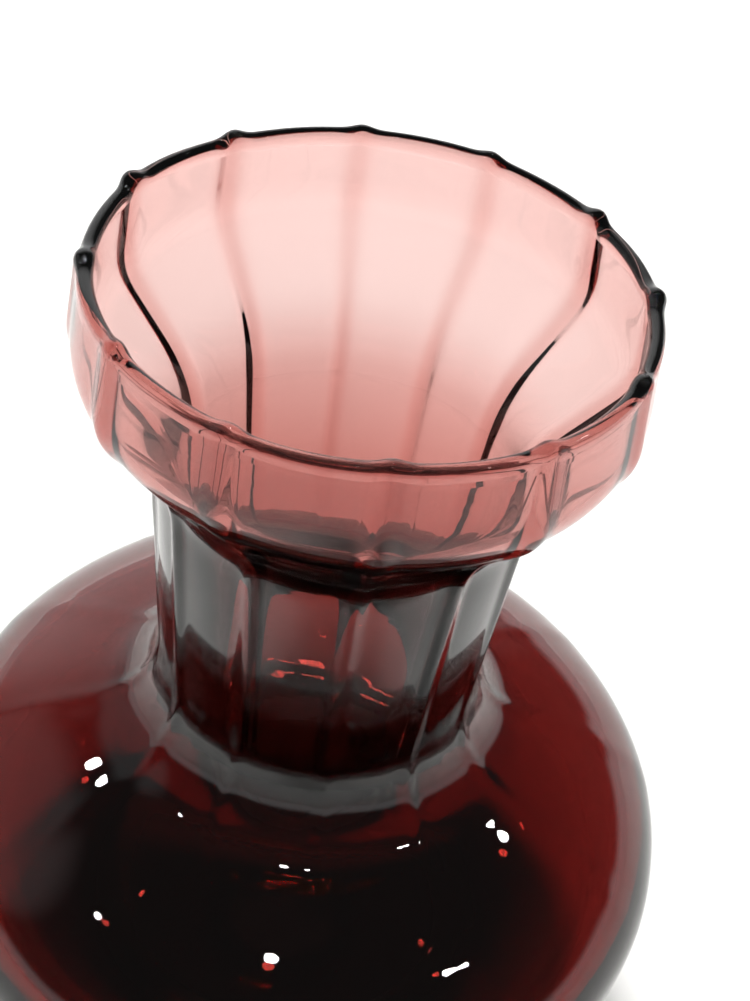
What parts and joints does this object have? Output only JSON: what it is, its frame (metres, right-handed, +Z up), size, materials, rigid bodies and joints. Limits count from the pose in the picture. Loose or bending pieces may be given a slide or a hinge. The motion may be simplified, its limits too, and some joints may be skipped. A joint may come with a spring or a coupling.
{
  "type": "antique glass bottle",
  "caption": "Squat hand-blown amethyst glass bottle with a round bulb body, a stout tapering neck and a wide ribbed cup mouth with a wavy fire-polished lip; it stands freely on its foot.",
  "frame": {"origin": "on the surface that it stands on, at the centre of the foot", "axes": "+Z up the axis of the neck and out of the mouth; the first rib of the mouth lies 9.5 degrees from +X towards +Y"},
  "size_m": [0.122, 0.122, 0.14],
  "materials": {
    "amethyst_glass": "fire polished, clear, transparent brownish amethyst"
  },
  "bodies": {
    "root": {"lip_rim": "amethyst_glass", "cup_mouth": "amethyst_glass", "neck": "amethyst_glass", "shoulder": "amethyst_glass", "bulb_body": "amethyst_glass", "punt_base": "amethyst_glass"}
  },
  "joints": []
}
